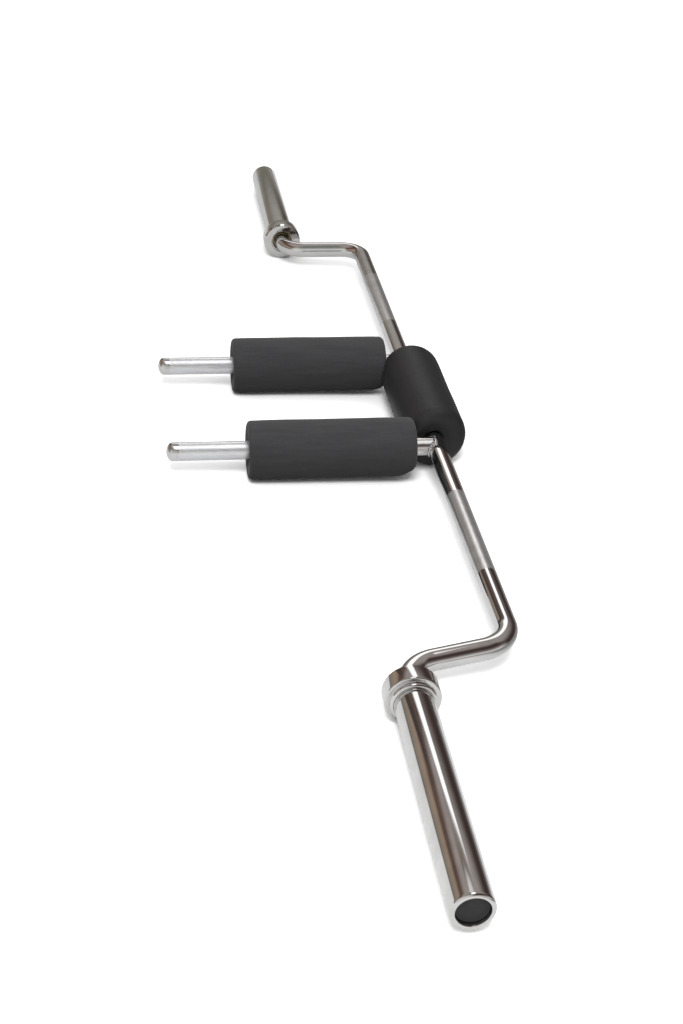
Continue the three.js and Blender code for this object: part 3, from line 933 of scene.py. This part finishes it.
# Collars: a flange turned from solid bar, pressed on the sleeve's inboard end as the stop for plates, with a
# broad chamfer toward the crank, a rounded front edge and a smaller round bead in front of it.
collar_radius = 70 * mm / 2
collar_length = 28 * mm
collar_gap = 0.1 * mm
collar_bore = sleeve_radius + collar_gap
lip_radius = 21 * mm
lip_length = 4 * mm
lip_ease = 0.8 * mm
collar_chamfer = 3.0 * mm
chamfer_ease = 1.0 * mm
front_round = 2.4 * mm
bead_ring_radius = 58 * mm / 2
bead_ring_length = 6 * mm
bead_ring_round = 3.6 * mm
bead_ring_ease = 0.2 * mm
inner_corner_ease = 0.4 * mm
collar_end = collar_length + bead_ring_length
collar_outline = [
    (0.0, lip_radius, lip_ease), (0.0, collar_radius - collar_chamfer, chamfer_ease),
    (collar_chamfer, collar_radius, chamfer_ease), (collar_length, collar_radius, front_round),
    (collar_length, bead_ring_radius, inner_corner_ease), (collar_end, bead_ring_radius, bead_ring_round),
    (collar_end, collar_bore, bead_ring_ease), (lip_length, collar_bore, 0.0),
    (lip_length, lip_radius, inner_corner_ease),
]
for name, side in both_sides:
    collar = turned(f"{name}_collar", eased(collar_outline), side, [chrome])
    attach(collar, f"{name}_sleeve")
    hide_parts(f"{name}_sleeve_collar")

# End plugs: a cap moulded in black plastic and pushed into each sleeve's mouth, to 5 mm behind its end. Its
# flat face is sunk a little inside a rim, and a thin skirt behind the face grips the bore.
bore_gap = 0.35 * mm
plug_face = 369 * mm
plug_radius = sleeve_bore - bore_gap
plug_wall = 2.7 * mm
plug_thickness = 3 * mm
plug_skirt = 17 * mm
plug_rim = 2.2 * mm
plug_rim_foot = 2.8 * mm
plug_sink = 0.5 * mm
plug_edge_ease = 0.8 * mm
plug_inside_ease = 0.4 * mm
plug_ease = 0.3 * mm
plug_tones = ((0.022, 0.022, 0.023), (0.036, 0.036, 0.037))
plug_polish = (0.48, 0.66)
plug_cloud = 7 * mm
plug_grit = 0.5 * mm
plug_grit_depth = 0.05 * mm
plug_grit_strength = 0.5
plug_finish, plug_shader = surface("black_plug", roughness=0.55, Specular_IOR_Level=0.4)
plug_clouds = textured(plug_finish, "ShaderNodeTexNoise", plug_cloud, Detail=4.0)
coloured(plug_finish, plug_shader, plug_clouds.outputs["Fac"], plug_tones)
roughened(plug_finish, plug_shader, plug_clouds.outputs["Fac"], plug_polish)
plug_grain = textured(plug_finish, "ShaderNodeTexNoise", plug_grit, Detail=2.0)
embossed(plug_finish, plug_shader, [(plug_grain.outputs["Fac"], plug_grit_depth, plug_grit_strength)])
plug_back = plug_face - plug_thickness
plug_end = plug_back - plug_skirt
plug_sunk = plug_face - plug_sink
plug_outline = [
    (plug_back, 0.0, 0.0), (plug_back, plug_radius - plug_wall, plug_inside_ease),
    (plug_end, plug_radius - plug_wall, plug_ease), (plug_end, plug_radius, plug_ease),
    (plug_face, plug_radius, plug_edge_ease), (plug_face, plug_radius - plug_rim, plug_ease),
    (plug_sunk, plug_radius - plug_rim_foot, plug_ease), (plug_sunk, 0.0, 0.0),
]
for name, side in both_sides:
    plug = turned(f"{name}_plug", eased(plug_outline), side, [plug_finish], closed=False)
    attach(plug, f"{name}_sleeve")
    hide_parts(f"{name}_end_plug")

# Bushes: two plain rings of oiled bronze in each sleeve, turned all over. The inner one shows as a dull gold
# ring round the rod in the collar's mouth, and the outer one runs on the journal.
bush_radius = sleeve_bore - bore_gap
bush_sizes = (("inner_bush", 12 * mm, 50 * mm, rod_radius), ("outer_bush", 259 * mm, 40 * mm, journal_radius))
bush_running_gap = 0.35 * mm
bush_bore_ease = 0.6 * mm
bush_ease = 0.8 * mm
bush_tones = ((0.22, 0.18, 0.10), (0.34, 0.29, 0.17))
bush_polish = (0.25, 0.45)
bush_cloud = 4 * mm
bush_turning = 0.4 * mm
bush_turning_depth = 0.02 * mm
bush_turning_strength = 0.5
bush_finish, bush_shader = surface("oiled_bronze", roughness=0.35, metallic=1.0)
bush_clouds = textured(bush_finish, "ShaderNodeTexNoise", bush_cloud, Detail=4.0)
coloured(bush_finish, bush_shader, bush_clouds.outputs["Fac"], bush_tones)
roughened(bush_finish, bush_shader, bush_clouds.outputs["Fac"], bush_polish)
bush_lines = textured(bush_finish, "ShaderNodeTexNoise", bush_turning, stretch=(1.0, 0.05, 0.05), Detail=2.0)
embossed(bush_finish, bush_shader, [(bush_lines.outputs["Fac"], bush_turning_depth, bush_turning_strength)])
for name, side in both_sides:
    for kind, start, length, running_radius in bush_sizes:
        bore = running_radius + bush_running_gap
        bush_outline = [(start, bore, bush_bore_ease), (start, bush_radius, bush_ease),
                        (start + length, bush_radius, bush_ease), (start + length, bore, bush_bore_ease)]
        bush = turned(f"{name}_{kind}_ring", eased(bush_outline), side, [bush_finish])
        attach(bush, f"{name}_sleeve")
        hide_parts(f"{name}_{kind}")

# Thrust washers: two zinc-plated steel washers on each journal, which take the sleeve's end load. One sits
# between the rod's shoulder and the outer bush, the other between that bush and the retaining ring.
washer_places = (("inner_thrust_washer", 256.7 * mm), ("outer_thrust_washer", 299.3 * mm))
washer_radius = 15.5 * mm
washer_running_gap = 0.35 * mm
washer_bore = journal_radius + washer_running_gap
washer_thickness = 2 * mm
washer_ease = 0.3 * mm
washer_bore_ease = 0.2 * mm
washer_tones = ((0.42, 0.43, 0.45), (0.58, 0.59, 0.61))
washer_polish = (0.24, 0.40)
washer_spangle = 2.5 * mm
washer_finish, washer_shader = surface("zinc_plate", roughness=0.3, metallic=1.0)
washer_clouds = textured(washer_finish, "ShaderNodeTexVoronoi", washer_spangle)
coloured(washer_finish, washer_shader, washer_clouds.outputs["Distance"], washer_tones)
roughened(washer_finish, washer_shader, washer_clouds.outputs["Distance"], washer_polish)
for name, side in both_sides:
    for kind, start in washer_places:
        back = start + washer_thickness
        washer_outline = [(start, washer_bore, washer_bore_ease), (start, washer_radius, washer_ease),
                          (back, washer_radius, washer_ease), (back, washer_bore, washer_bore_ease)]
        washer = turned(f"{name}_{kind}_disc", eased(washer_outline), side, [washer_finish])
        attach(washer, "bar")
        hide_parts(f"{name}_{kind}")

# Clips and retaining rings: rings of flat spring steel, left black, that snap into the grooves of the
# sleeve's bore and of the journal. They stay as modelled, with the blued surface of tempered steel.
clip_kinds = ("inner_bush_clip", "outer_bush_inner_clip", "outer_bush_outer_clip", "retaining_ring")
clip_tones = ((0.10, 0.10, 0.11), (0.20, 0.20, 0.22))
clip_polish = (0.30, 0.48)
clip_cloud = 3 * mm
clip_finish, clip_shader = surface("blued_spring_steel", roughness=0.4, metallic=1.0)
clip_clouds = textured(clip_finish, "ShaderNodeTexNoise", clip_cloud, Detail=3.0)
coloured(clip_finish, clip_shader, clip_clouds.outputs["Fac"], clip_tones)
roughened(clip_finish, clip_shader, clip_clouds.outputs["Fac"], clip_polish)
for name, _ in both_sides:
    for kind in clip_kinds:
        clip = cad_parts[f"{name}_{kind}"]
        for slot in clip.material_slots:
            slot.material = clip_finish
        if not clip.material_slots:
            clip.data.materials.append(clip_finish)
